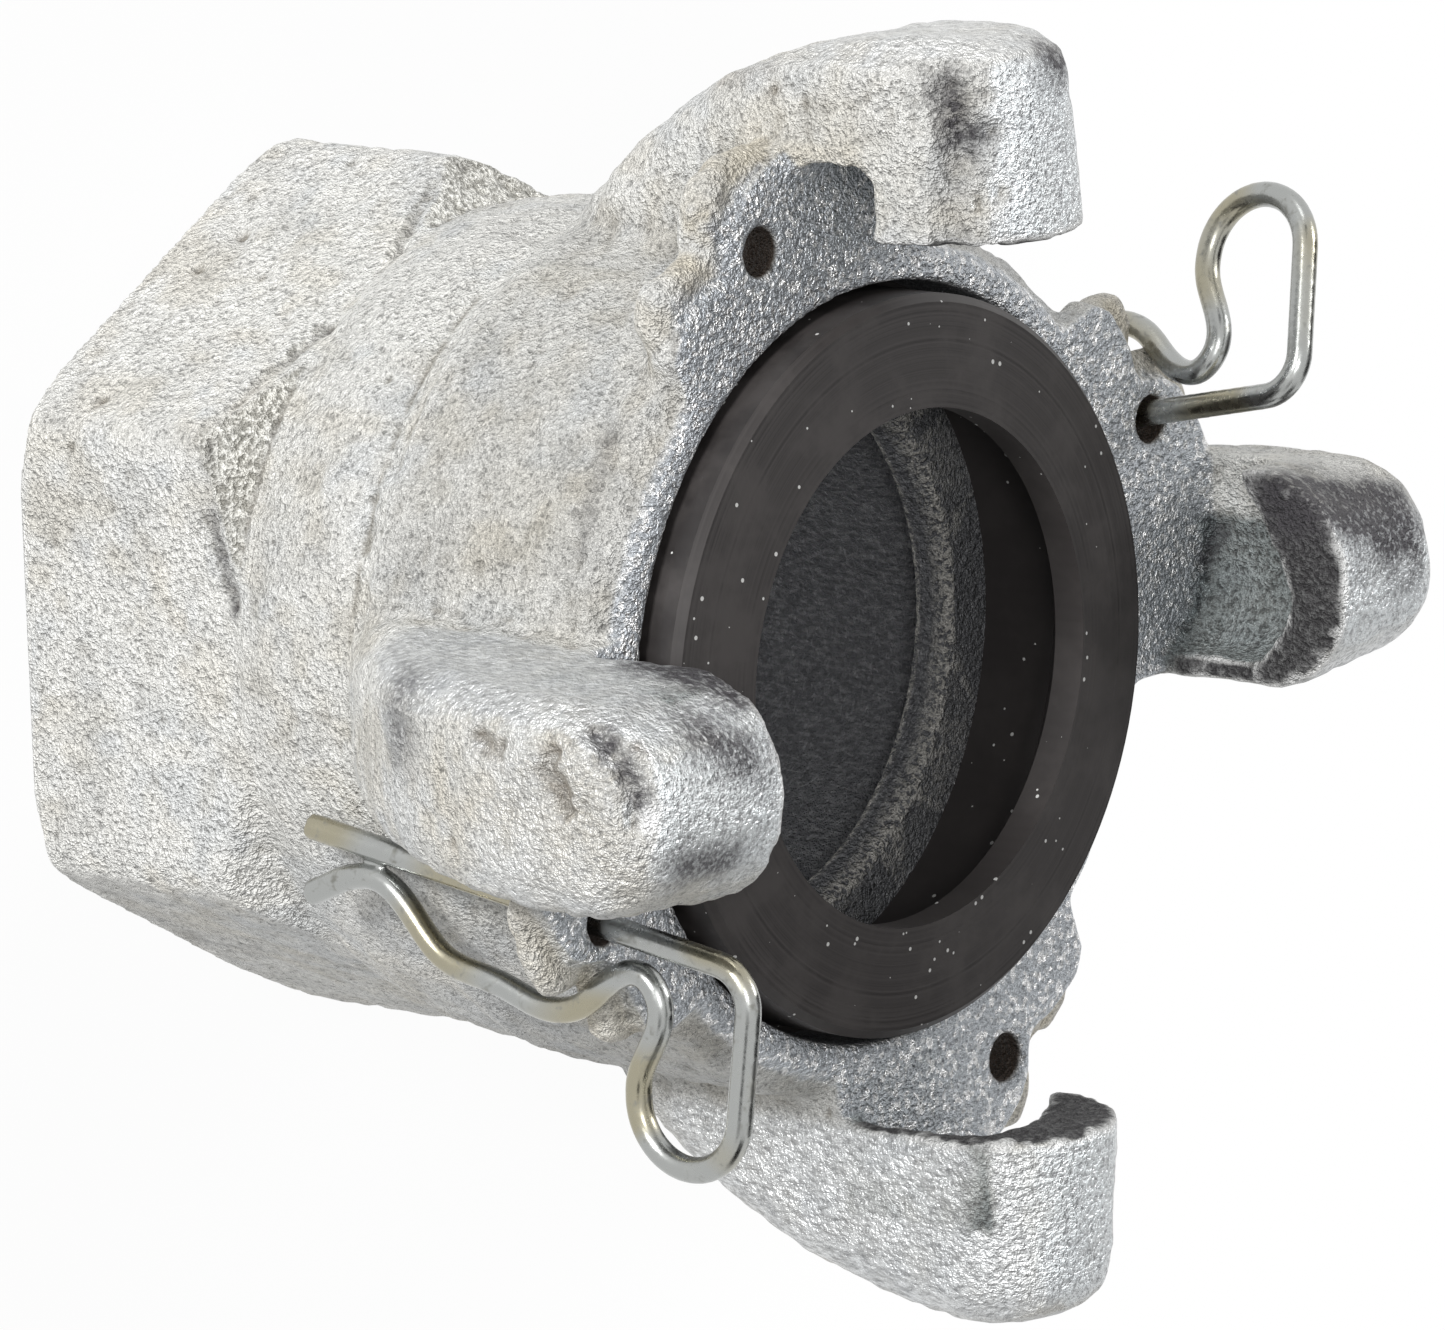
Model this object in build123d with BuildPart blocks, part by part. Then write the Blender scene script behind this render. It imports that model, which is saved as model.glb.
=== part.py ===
from build123d import *
import math
import os

# Claw hose coupling, one half: a casting with four claws, its sealing washer and two spring clips.
# Millimetres. +Z is the coupling axis, the origin is the middle of the hexagon's end face.
# One claw lies along +X with its ear on the +Y side of it; the others follow at equal steps.

# Hexagon end
HEX_ACROSS_FLATS = 79.0
HEX_LENGTH = 24.0
HEX_SHOULDER = 5.2
HEX_CORNER_ROUND = 4.0
HEX_END_CHAMFER = (3.0, 1.5)

# Neck and head, outside
NECK_WALL = 9.3
NECK_DIP = 2.0
NECK_FLARE = 6.0
HEAD_WALL = 5.7
HEAD_START = 48.0
HEAD_STEP = 1.2
FLANGE_WALL = 3.7
FLANGE_FACE = 77.8
FLANGE_EDGE_HEIGHT = 3.2
FLANGE_EDGE_ROUND = 1.0

# Passage and washer seat, inside
THREAD_BORE_RADIUS = 29.8
THREAD_LENGTH = 27.0
THREAD_MOUTH_CHAMFER = 1.6
CHAMBER_RADIUS = 33.0
CHAMBER_SLOPE = 3.0
THROAT_RADIUS = 27.2
THROAT_CHAMFER = (1.5, 2.5)
THROAT_THICKNESS = 3.5
SEAT_RADIUS = 37.5
SEAT_DEPTH = 14.8

# Washer: its foot fills the seat, the rest stands clear of the seat wall
WASHER_SIDE_GAP = 1.0
WASHER_BORE_RADIUS = 25.5
WASHER_PROUD = 3.5
WASHER_FACE_RISE = 0.9
WASHER_LIP = 3.5
WASHER_SKIRT = 3.3
WASHER_FOOT_HEIGHT = 5.8
WASHER_CHAMFER = 0.8

# Claws: radial, tangential and axial sizes of one claw lying along +X
CLAW_COUNT = 4
CLAW_LIP_GAP = 1.0
CLAW_LIP_LENGTH = 7.8
CLAW_WALL = 11.5
CLAW_ROOT = 43.0
CLAW_ROOT_DEPTH = 1.3
CLAW_ROOT_SIDE = 9.2
CLAW_RAMP = 43.0
CLAW_RAMP_FOOT = 1.5
CLAW_RAMP_SHAPE = ((0.221, 0.373), (0.442, 0.667), (0.733, 0.898))
CLAW_FRONT = 101.6
CLAW_STOP_SIDE = -9.2
CLAW_OPEN_SIDE = 13.1
CLAW_STOP_CORNER = 10.4
CLAW_OPEN_CORNER = 11.0
CLAW_DRAFT = 4.0
CLAW_CROWN_ROUND = 5.4
POCKET_STOP = -6.8
POCKET_BACK_SWEEP = 4.8
POCKET_PEAK = 94.1
POCKET_MOUTH_ROOF = 87.8
POCKET_CORNER = 3.0

# Ears with the clip holes
EAR_THICKNESS = 6.5
EAR_PLATE = 3.2
EAR_ANGLE = 21.6
HOLE_WALL = 6.6

# Spring clips: wire, and how each of the two leans, turns and stands out of its hole
WIRE_RADIUS = 1.3
WIRE_PLAY = 1.1
CLIP_TAIL = -35.0
CLIP_REACH = 20.6
CLIP_CORNER = 4.0
CLIP_LEAN = (8.0, 12.0)
CLIP_TURN = (0.0, -22.0)
CLIP_LIFT = (0.6, 1.3)

# Derived
NECK_RADIUS = CHAMBER_RADIUS + NECK_WALL
NECK_WAIST = NECK_RADIUS - NECK_DIP
HEAD_RADIUS = SEAT_RADIUS + HEAD_WALL
FLANGE_RADIUS = SEAT_RADIUS + FLANGE_WALL
CLAW_INNER_RADIUS = HEAD_RADIUS + CLAW_LIP_GAP
POCKET_DEPTH_RADIUS = CLAW_INNER_RADIUS + CLAW_LIP_LENGTH
CLAW_CROWN_RADIUS = POCKET_DEPTH_RADIUS + CLAW_WALL
WASHER_RADIUS = SEAT_RADIUS - WASHER_SIDE_GAP
WASHER_FACE = FLANGE_FACE + WASHER_PROUD
SEAT_FLOOR = FLANGE_FACE - SEAT_DEPTH
HOLE_RADIUS = WIRE_RADIUS + WIRE_PLAY
HOLE_CIRCLE_RADIUS = SEAT_RADIUS + HOLE_WALL + HOLE_RADIUS


def polar(radius, degrees):
    """Point at a radius and an angle."""
    return (radius * math.cos(math.radians(degrees)), radius * math.sin(math.radians(degrees)))


def hexagon_and_neck():
    """Outside of the turned part: hexagon with sloped corner shoulders, round neck and head."""
    corner = HEX_ACROSS_FLATS / math.sqrt(3)
    shoulder_end = HEX_LENGTH + HEX_SHOULDER
    with BuildPart() as trunk:
        with BuildSketch() as hexagon:
            RegularPolygon(HEX_ACROSS_FLATS / 2, 6, major_radius=False, rotation=30)
            fillet(hexagon.vertices(), HEX_CORNER_ROUND)
        extrude(amount=shoulder_end)
        with BuildSketch(Plane.XZ):
            with BuildLine():
                Polyline(
                    (0, 0),
                    (corner - HEX_END_CHAMFER[0], 0),
                    (corner, HEX_END_CHAMFER[1]),
                    (corner, HEX_LENGTH),
                    (NECK_WAIST, shoulder_end),
                    (0, shoulder_end),
                    close=True,
                )
            make_face()
        revolve(axis=Axis.Z, mode=Mode.INTERSECT)
        with BuildSketch(Plane.XZ):
            with BuildLine():
                flare = Spline(
                    (NECK_WAIST, shoulder_end),
                    (NECK_RADIUS - 0.5, shoulder_end + NECK_FLARE),
                    (NECK_RADIUS, HEAD_START - HEAD_STEP),
                )
                Polyline(
                    flare @ 1,
                    (HEAD_RADIUS, HEAD_START),
                    (HEAD_RADIUS, FLANGE_FACE - FLANGE_EDGE_HEIGHT),
                    (FLANGE_RADIUS, FLANGE_FACE - FLANGE_EDGE_ROUND),
                    (FLANGE_RADIUS - FLANGE_EDGE_ROUND, FLANGE_FACE),
                    (0, FLANGE_FACE),
                    (0, shoulder_end),
                    flare @ 0,
                )
            make_face()
        revolve(axis=Axis.Z)
    return trunk.part


def claw():
    """One claw along +X: arm with a rounded crown, arched front, and a block for the turned-in lip."""
    block = CLAW_CROWN_RADIUS - CLAW_INNER_RADIUS + 5
    foot_radius = SEAT_RADIUS - 1.5
    foot = CLAW_INNER_RADIUS - foot_radius
    ramp_start = NECK_RADIUS - CLAW_ROOT_DEPTH
    ramp_foot = CLAW_ROOT + CLAW_RAMP_FOOT
    crown_round = min(CLAW_CROWN_ROUND, (CLAW_OPEN_SIDE - CLAW_STOP_SIDE) / 4)
    stop_arc = (CLAW_STOP_SIDE + CLAW_STOP_CORNER, CLAW_FRONT - CLAW_STOP_CORNER)
    open_arc = (CLAW_OPEN_SIDE - CLAW_OPEN_CORNER, CLAW_FRONT - CLAW_OPEN_CORNER)
    with BuildPart() as arm:
        # seen from outside: slim root, parallel sides, arched front
        with BuildSketch(Plane.YZ.offset(CLAW_INNER_RADIUS)) as arch:
            with BuildLine():
                Polyline(
                    (CLAW_STOP_SIDE, stop_arc[1]),
                    (CLAW_STOP_SIDE, CLAW_ROOT - 5),
                    (CLAW_ROOT_SIDE, CLAW_ROOT - 5),
                )
                Spline(
                    (CLAW_ROOT_SIDE, CLAW_ROOT - 5),
                    (CLAW_OPEN_SIDE - 1.7, FLANGE_FACE - 18),
                    (CLAW_OPEN_SIDE, FLANGE_FACE),
                    (CLAW_OPEN_SIDE, open_arc[1]),
                    tangents=[(0.1, 1), (0, 1)],
                )
                CenterArc(stop_arc, CLAW_STOP_CORNER, 180, -90)
                Line((stop_arc[0], CLAW_FRONT), (open_arc[0], CLAW_FRONT))
                CenterArc(open_arc, CLAW_OPEN_CORNER, 90, -90)
            make_face()
        extrude(amount=block, taper=CLAW_DRAFT)
        extrude(arch.sketch, amount=-foot)
        # seen from the side: the ramp off the neck and the crown
        with BuildSketch(Plane.XZ):
            with BuildLine():
                climb = [
                    (ramp_start + height * (CLAW_CROWN_RADIUS - ramp_start), CLAW_ROOT + along * CLAW_RAMP)
                    for along, height in CLAW_RAMP_SHAPE
                ]
                ramp = Spline(
                    (ramp_start, ramp_foot),
                    *climb,
                    (CLAW_CROWN_RADIUS, CLAW_ROOT + CLAW_RAMP),
                    (CLAW_CROWN_RADIUS - 1.2, CLAW_FRONT + 1),
                )
                Polyline(
                    ramp @ 1,
                    (CLAW_INNER_RADIUS, CLAW_FRONT + 1),
                    (CLAW_INNER_RADIUS, FLANGE_FACE),
                    (foot_radius, FLANGE_FACE),
                    (foot_radius, ramp_foot),
                    ramp @ 0,
                )
            make_face()
        extrude(amount=20, both=True, mode=Mode.INTERSECT)
        crown = arm.faces().sort_by(Axis.X)[-1]
        fillet(crown.edges().sort_by(Axis.Z)[1:], crown_round)
    return arm.part


def pocket():
    """Hollow behind the lip: open to the axis and to one side, with a roof highest in the middle."""
    mouth = CLAW_OPEN_SIDE + 9
    start = SEAT_RADIUS - 17.5
    back_corner = POCKET_DEPTH_RADIUS - POCKET_BACK_SWEEP
    with BuildPart() as hollow:
        with BuildSketch(Plane.YZ.offset(start)):
            with BuildLine():
                Polyline(
                    (CLAW_OPEN_SIDE - 1.5, POCKET_MOUTH_ROOF),
                    (mouth, POCKET_MOUTH_ROOF),
                    (mouth, FLANGE_FACE),
                    (POCKET_STOP, FLANGE_FACE),
                    (POCKET_STOP, POCKET_PEAK - 7.0),
                )
                Spline(
                    (POCKET_STOP, POCKET_PEAK - 7.0),
                    (-4.4, POCKET_PEAK - 1.7),
                    (0.6, POCKET_PEAK),
                    (7.0, POCKET_PEAK - 3.0),
                    (CLAW_OPEN_SIDE - 1.5, POCKET_MOUTH_ROOF),
                    tangents=[(0, 1), (1, -0.9)],
                )
            make_face()
        extrude(amount=CLAW_CROWN_RADIUS)
        with BuildSketch(Plane.XY.offset(FLANGE_FACE - 5)):
            with BuildLine():
                Polyline(
                    (back_corner, POCKET_STOP),
                    (start, POCKET_STOP),
                    (start, mouth),
                    (POCKET_DEPTH_RADIUS - 1, mouth),
                )
                Spline(
                    (POCKET_DEPTH_RADIUS - 1, mouth),
                    (POCKET_DEPTH_RADIUS, 6),
                    (POCKET_DEPTH_RADIUS - 1.3, -2.5),
                    (back_corner, POCKET_STOP),
                )
            make_face()
        extrude(amount=40, mode=Mode.INTERSECT)
        back = hollow.faces().sort_by(Axis.X)[-1].edges()
        fillet(
            back.filter_by_position(Axis.Z, FLANGE_FACE - 0.1, FLANGE_FACE + 0.1)
            + back.filter_by_position(Axis.Z, POCKET_MOUTH_ROOF - 0.1, POCKET_PEAK + 1),
            POCKET_CORNER,
        )
    return hollow.part


def ear_outline(drop):
    """Edge of an ear, pulled in by a drop: boss round the clip hole, then a lower shoulder."""
    tip = EAR_ANGLE
    ring = HOLE_CIRCLE_RADIUS - drop
    inside = SEAT_RADIUS - 3.5
    Polyline(
        polar(ring + 5.5, tip + 0.5),
        polar(ring + 4.3, tip + 2.8 - drop / 2),
        polar(ring + 1.4, tip + 4.6 - drop / 2),
        polar(ring + 0.2, tip + 6.2),
        polar(ring + 0.9, tip + 10.0),
        polar(ring + 0.8, tip + 16.5),
        polar(ring - 0.7, tip + 19.5 - drop / 2),
        polar(SEAT_RADIUS + (5.0 - drop) / 2, tip + 22.8 - drop / 2),
        polar(inside, tip + 22.8),
        polar(inside, 2),
        polar(ring + 8.1, 8),
    )
    ThreePointArc(polar(ring + 8.1, 8), polar(ring + 7.9, 14), polar(ring + 5.5, tip + 0.5))


def ear():
    """One ear beside the claw on +X: flat plate in front, sloped into the head behind."""
    slope = EAR_THICKNESS - EAR_PLATE
    with BuildPart() as plate:
        with BuildSketch(Plane.XY.offset(FLANGE_FACE - EAR_PLATE)) as front:
            with BuildLine():
                ear_outline(0)
            make_face()
        extrude(front.sketch, amount=EAR_PLATE)
        with BuildSketch(Plane.XY.offset(FLANGE_FACE - EAR_THICKNESS)):
            with BuildLine():
                ear_outline(slope)
            make_face()
        loft(ruled=True)
    return plate.part


def washer():
    """Rubber washer: sealing lip, skirt down to the seat floor and a foot that fills the seat."""
    foot = SEAT_FLOOR + WASHER_FOOT_HEIGHT
    skirt = SEAT_RADIUS - WASHER_SKIRT
    inner = WASHER_FACE + WASHER_FACE_RISE
    underside = inner - WASHER_LIP
    with BuildPart() as ring:
        with BuildSketch(Plane.XZ):
            with BuildLine():
                Polyline(
                    (WASHER_BORE_RADIUS, inner),
                    (WASHER_RADIUS - WASHER_CHAMFER, WASHER_FACE),
                    (WASHER_RADIUS, WASHER_FACE - WASHER_CHAMFER),
                    (WASHER_RADIUS, foot + WASHER_SIDE_GAP),
                    (SEAT_RADIUS, foot),
                    (SEAT_RADIUS, SEAT_FLOOR),
                    (skirt, SEAT_FLOOR),
                    (skirt, underside - 7.0),
                    (skirt - 1.8, underside - 3.0),
                    (skirt - 5.0, underside - 1.0),
                    (WASHER_BORE_RADIUS, underside),
                    close=True,
                )
            make_face()
        revolve(axis=Axis.Z)
    return ring.part


def clip():
    """Spring clip, straight leg along +Z through the origin, waved leg on the -Y side."""
    with BuildPart() as wire:
        with BuildLine(Plane.YZ) as path:
            leg = Line((0, CLIP_TAIL), (0, CLIP_REACH - CLIP_CORNER))
            bend = RadiusArc(leg @ 1, (-CLIP_CORNER, CLIP_REACH), -CLIP_CORNER)
            bar = Line(bend @ 1, (-14.6, CLIP_REACH))
            loop = ThreePointArc(bar @ 1, (-21.0, CLIP_REACH - 6.3), (-15.2, CLIP_REACH - 12.4))
            wave = Spline(
                loop @ 1,
                (-10.0, 9.4),
                (-5.8, 9.9),
                (-3.6, 7.6),
                (-4.6, 4.4),
                (-8.6, 0.4),
                (-10.0, -3.4),
                (-9.2, -10.0),
                (-8.5, -17.0),
                (-4.4, -22.6),
                (-3.0, -26.0),
                (-3.8, -29.6),
                (-6.7, CLIP_TAIL + 0.6),
                tangents=[(0.985, -0.17), (-0.5, -0.86)],
            )
        with BuildSketch(Plane(origin=(0, 0, CLIP_TAIL), z_dir=(0, 0, 1))):
            Circle(WIRE_RADIUS)
        sweep()
    return wire.part


def passage():
    """Everything hollow along the axis: thread bore, chamber, throat and washer seat."""
    throat = SEAT_FLOOR - THROAT_THICKNESS
    mouth = THREAD_MOUTH_CHAMFER
    with BuildPart() as hollow:
        with BuildSketch(Plane.XZ):
            with BuildLine():
                Polyline(
                    (0, -1),
                    (THREAD_BORE_RADIUS + mouth + 1, -1),
                    (THREAD_BORE_RADIUS, mouth),
                    (THREAD_BORE_RADIUS, THREAD_LENGTH),
                    (CHAMBER_RADIUS, THREAD_LENGTH + CHAMBER_SLOPE),
                    (CHAMBER_RADIUS, throat - CHAMBER_SLOPE),
                    (THROAT_RADIUS, throat),
                    (THROAT_RADIUS, SEAT_FLOOR - THROAT_CHAMFER[1]),
                    (THROAT_RADIUS + THROAT_CHAMFER[0], SEAT_FLOOR),
                    (SEAT_RADIUS, SEAT_FLOOR),
                    (SEAT_RADIUS, FLANGE_FACE + 1),
                    (0, FLANGE_FACE + 1),
                    close=True,
                )
            make_face()
        revolve(axis=Axis.Z)
    return hollow.part


# Casting
claw_solid = claw()
pocket_solid = pocket()
ear_solid = ear()
quarter_turns = [360.0 / CLAW_COUNT * i for i in range(CLAW_COUNT)]
with BuildPart() as coupling_body:
    add(hexagon_and_neck())
    for angle in quarter_turns:
        add(claw_solid, rotation=(0, 0, angle))
        add(ear_solid, rotation=(0, 0, angle))
    for angle in quarter_turns:
        add(pocket_solid, rotation=(0, 0, angle), mode=Mode.SUBTRACT)
    add(passage(), mode=Mode.SUBTRACT)
    with BuildSketch(Plane.XY.offset(FLANGE_FACE)):
        with PolarLocations(HOLE_CIRCLE_RADIUS, CLAW_COUNT, start_angle=EAR_ANGLE):
            Circle(HOLE_RADIUS)
    extrude(amount=-2 * EAR_THICKNESS, mode=Mode.SUBTRACT)

# Washer
with BuildPart() as rubber_washer:
    add(washer())

# Clips: in the ear hole beside the claw on -X, and in the one beside the claw on +X
hole_x, hole_y = polar(HOLE_CIRCLE_RADIUS, EAR_ANGLE + 180)
ear_middle = FLANGE_FACE - EAR_THICKNESS / 2
clip_places = [
    Rot(0, 0, 180 * i)
    * Pos(hole_x, hole_y, ear_middle)
    * Rot(CLIP_LEAN[i], 0, 0)
    * Pos(0, 0, CLIP_LIFT[i])
    * Rot(0, 0, CLIP_TURN[i])
    for i in range(2)
]
wire_form = clip()
with BuildPart() as safety_clip_1:
    add(clip_places[0] * wire_form)
with BuildPart() as safety_clip_2:
    add(clip_places[1] * wire_form)

os.makedirs("parts", exist_ok=True)
coupling_body.part.label = "coupling_body"
export_step(coupling_body.part, "parts/coupling_body.step")
rubber_washer.part.label = "rubber_washer"
export_step(rubber_washer.part, "parts/rubber_washer.step")
safety_clip_1.part.label = "safety_clip_1"
export_step(safety_clip_1.part, "parts/safety_clip_1.step")
safety_clip_2.part.label = "safety_clip_2"
export_step(safety_clip_2.part, "parts/safety_clip_2.step")
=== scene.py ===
import math

import bpy
import numpy as np
from mathutils import Matrix, Vector


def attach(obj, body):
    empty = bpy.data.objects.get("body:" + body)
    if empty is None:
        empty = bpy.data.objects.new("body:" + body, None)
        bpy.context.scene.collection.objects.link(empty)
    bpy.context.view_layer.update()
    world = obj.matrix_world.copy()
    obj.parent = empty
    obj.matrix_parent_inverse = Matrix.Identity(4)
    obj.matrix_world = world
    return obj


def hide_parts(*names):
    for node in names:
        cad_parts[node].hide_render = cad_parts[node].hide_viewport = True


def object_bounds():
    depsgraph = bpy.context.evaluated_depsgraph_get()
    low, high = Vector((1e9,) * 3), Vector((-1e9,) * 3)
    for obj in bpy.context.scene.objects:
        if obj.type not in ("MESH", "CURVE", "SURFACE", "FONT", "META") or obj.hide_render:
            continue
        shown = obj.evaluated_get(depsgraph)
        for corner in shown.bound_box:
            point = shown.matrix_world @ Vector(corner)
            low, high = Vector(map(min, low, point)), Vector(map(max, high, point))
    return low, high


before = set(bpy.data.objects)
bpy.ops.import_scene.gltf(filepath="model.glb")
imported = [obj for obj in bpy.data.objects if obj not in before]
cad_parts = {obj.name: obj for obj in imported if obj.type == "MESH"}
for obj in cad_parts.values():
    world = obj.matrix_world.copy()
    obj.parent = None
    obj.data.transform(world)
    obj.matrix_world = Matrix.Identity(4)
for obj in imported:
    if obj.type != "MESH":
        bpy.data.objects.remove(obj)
cad_low, cad_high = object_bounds()

MM = 0.001
BODY = "half_coupling"

# Landmarks of the casting, in millimetres in the row frame. Sides and depths are those of the claw on +X.
FLANGE_FACE = 77.8
HOLE_CIRCLE = 46.5
HOLE_RADIUS = 2.4
EAR_ANGLE = 21.6
CLAW_INNER = 44.2
CLAW_ROOT_DEPTH = 43.5
CLAW_SIDES = (-10.5, 14.5)
POCKET_SIDES = (-7.6, 5.5)
POCKET_DEPTHS = (40.0, 52.8)
POCKET_ROOF = 94.1
MACHINED_RADIUS = 38.0
SHOULDER_HEIGHTS = (23.6, 29.6)
SHOULDER_RADIUS = 39.4
THROAT_EDGES = (((26.9, 27.5), (58.9, 59.9)), ((28.3, 29.1), (62.3, 63.3)))
THREAD_RADIUS = 29.8
THREAD_CREST = 28.35
THREAD_PITCH = 2.309
THREAD_START = 1.9
THREAD_END = 26.4
THREAD_MARGIN = 0.6
# Section of its ridge. First number: below 0 a share of the height, above 0 millimetres into the wall.
# Second: share of the pitch.
THREAD_SECTION = ((0.06, 0.49), (-0.55, 0.28), (-1.0, 0.08), (-1.0, -0.08), (-0.55, -0.28), (0.06, -0.49))

# How finely the casting is made
VOXEL = 0.5
TRIANGLES = 195000
BOX_MARGIN = 0.02
FOOT_HEIGHT = 0.25
THREAD_STEPS = 72

# Uneven skin: height and breadth of its bumps in millimetres, and the seed
SKIN_BUMPS = ((0.16, 8.0, 1), (0.12, 3.4, 2), (0.19, 1.5, 3))
COARSE_BUMPS = ((0.12, 2.1, 13),)
FRONT_BUMPS = ((0.05, 1.2, 4),)
LIP_BUMPS = ((0.16, 1.2, 5),)
EAR_BUMPS = ((0.15, 3.0, 6), (0.12, 1.6, 8))
SHOULDER_SINK = 0.35
SHOULDER_BUMPS = ((0.30, 1.1, 10),)
# Low pad on the head, its bare place for lettering, and the groove below it
PAD_RISE = 0.35
PAD_DEGREES = (112, 168)
GROOVE_DEPTH = 0.30
GROOVE_HEIGHT = 45.2
GROOVE_HALF = 0.6
GROOVE_DEGREES = (122, 170)

# How the real casting differs from its plan: its end is shifted sideways, the lowest side of the end is
# pressed in by a share, and the claws are short by unequal amounts
CORE_SHIFT = 0.8
CORE_PRESSED = 0.15
CLAW_SHORT = (1.0, 0.0, 0.2, 1.1)

# Rope of flash round an ear, in the frame of the claw on +X: x, y and radius
ROPE_HEIGHT = 74.5
SEEN_EAR = 1
SEEN_ROPE_SCALE = 1.45
EAR_ROPE = (
    (50.9, 9.9, 1.0), (51.2, 12.6, 1.2), (51.2, 15.6, 1.4), (50.6, 18.6, 1.5), (49.6, 21.2, 1.5),
    (48.1, 22.3, 1.6), (46.5, 22.2, 1.8), (44.4, 21.6, 1.9), (42.7, 21.8, 1.8), (42.0, 23.6, 1.5),
    (41.2, 26.8, 1.5), (39.8, 28.8, 1.7), (37.7, 28.9, 1.6), (35.5, 27.7, 1.3), (33.2, 27.2, 1.1),
)

# Marks of this one casting read from the photograph, as paths in the row frame
VALLEY = ((-10.7, 59.3, 95.3), (-10.3, 56.5, 96.5), (-10.2, 54.9, 96.8), (-10.8, 51.8, 96.4),
          (-11.2, 48.0, 96.2), (-11.1, 45.0, 96.8))
CREASE = ((-61.6, 6.7, 93.3), (-62.1, 5.2, 95.6), (-62.2, 2.9, 97.4), (-62.1, 0.8, 98.4), (-62.4, -1.7, 98.3))
# Corner where the claw on -X meets the head, left sharper than the other hollows
CLAW_ROOT = (-47.1, 3.0, 53.0)
# Edges of the recess behind the hexagon corner at 150 degrees: against the flats, and against the neck
SEAM_FLATS = ((-23.6, 31.6, 27.6), (-31.2, 27.0, 25.4), (-38.2, 22.4, 24.3), (-39.0, 14.5, 26.0),
              (-39.2, 6.6, 28.2))
SEAM_NECK = ((-23.6, 31.9, 28.2), (-33.5, 22.9, 28.8), (-37.7, 14.0, 28.9), (-39.3, 6.6, 28.6))
# Turns in degrees from that corner to those that have the recess, and the angles of the one that has none
RECESS_TURNS = (0, -60, -120, -180, -240)
PLAIN_CORNER = (186, 234)
# Each mark has a strength (for a cut its depth, below 0 a ridge), a width and a path
CUTS = (
    (1.15, 2.0, VALLEY),
    (0.35, 0.7, ((-12.2, 57.4, 79.4), (-12.5, 53.3, 80.0))),
    (-0.45, 1.3, ((-9.1, 57.8, 67.4), (-10.4, 59.6, 74.3), (-11.4, 60.3, 81.8), (-11.8, 60.2, 88.5))),
    (-0.35, 1.4, ((-6.8, 61.2, 97.9), (-0.1, 61.8, 98.8))),
    (0.60, 1.0, ((-8.2, 55.1, 98.8),)), (0.45, 0.8, ((-7.8, 49.4, 99.6),)),
    (0.55, 0.7, ((-11.7, 58.0, 75.3),)),
    (0.95, 1.2, CREASE),
    (-0.35, 1.1, ((-55.2, 8.3, 70.0), (-57.8, 8.0, 78.0), (-59.2, 8.1, 89.1))),
    (1.10, 1.0, ((-63.5, 4.4, 89.1), (-63.7, 2.4, 88.3), (-63.7, 1.1, 90.0), (-63.7, -0.5, 90.7))),
    (0.80, 0.9, ((-61.8, 4.7, 78.5), (-62.8, 3.7, 82.0))), (0.7, 0.8, ((-63.7, -0.2, 93.1),)),
    (0.55, 0.8, ((-61.0, -6.7, 73.9), (-61.4, -7.6, 74.4))),
    (0.50, 0.9, ((-37.7, 19.4, 45.1), (-39.7, 14.9, 45.7))),
    (0.55, 0.9, ((-13.6, 37.8, 7.4),)), (0.55, 0.9, ((-18.7, 34.8, 5.7),)),
    (0.40, 0.8, ((-18.6, 34.8, 14.0),)), (0.60, 0.9, ((-35.9, 24.9, 8.3),)),
    (0.45, 0.7, ((-3.0, 43.9, 12.5),)), (0.45, 0.6, ((-39.5, 20.4, 6.9),)),
    (0.45, 0.8, ((-30.6, 29.4, 41.1),)), (0.40, 1.6, ((50.6, 1.5, 78.4), (51.7, 4.5, 79.5))),
    (0.50, 1.6, ((-33.0, 27.8, 71.5), (-35.6, 23.4, 73.4), (-38.6, 17.6, 73.0), (-40.6, 12.6, 72.2))),
)
TAN = (
    (0.45, 8.0, ((-62.0, 1.0, 78.0), (-62.0, -2.0, 88.0))),
    (0.30, 7.0, ((-40.0, 16.0, 62.0), (-38.0, 21.0, 66.0))),
    (0.55, 5.0, ((-63.0, 2.0, 91.0), (-62.5, -4.0, 94.5))),
    (0.45, 4.0, ((-11.0, 50.0, 73.0), (-12.0, 54.0, 84.0))),
    (0.45, 3.0, ((-11.0, 48.0, 92.0), (-9.0, 47.0, 98.0))), (0.40, 5.0, ((-30.6, 29.4, 60.0),)),
)
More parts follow.
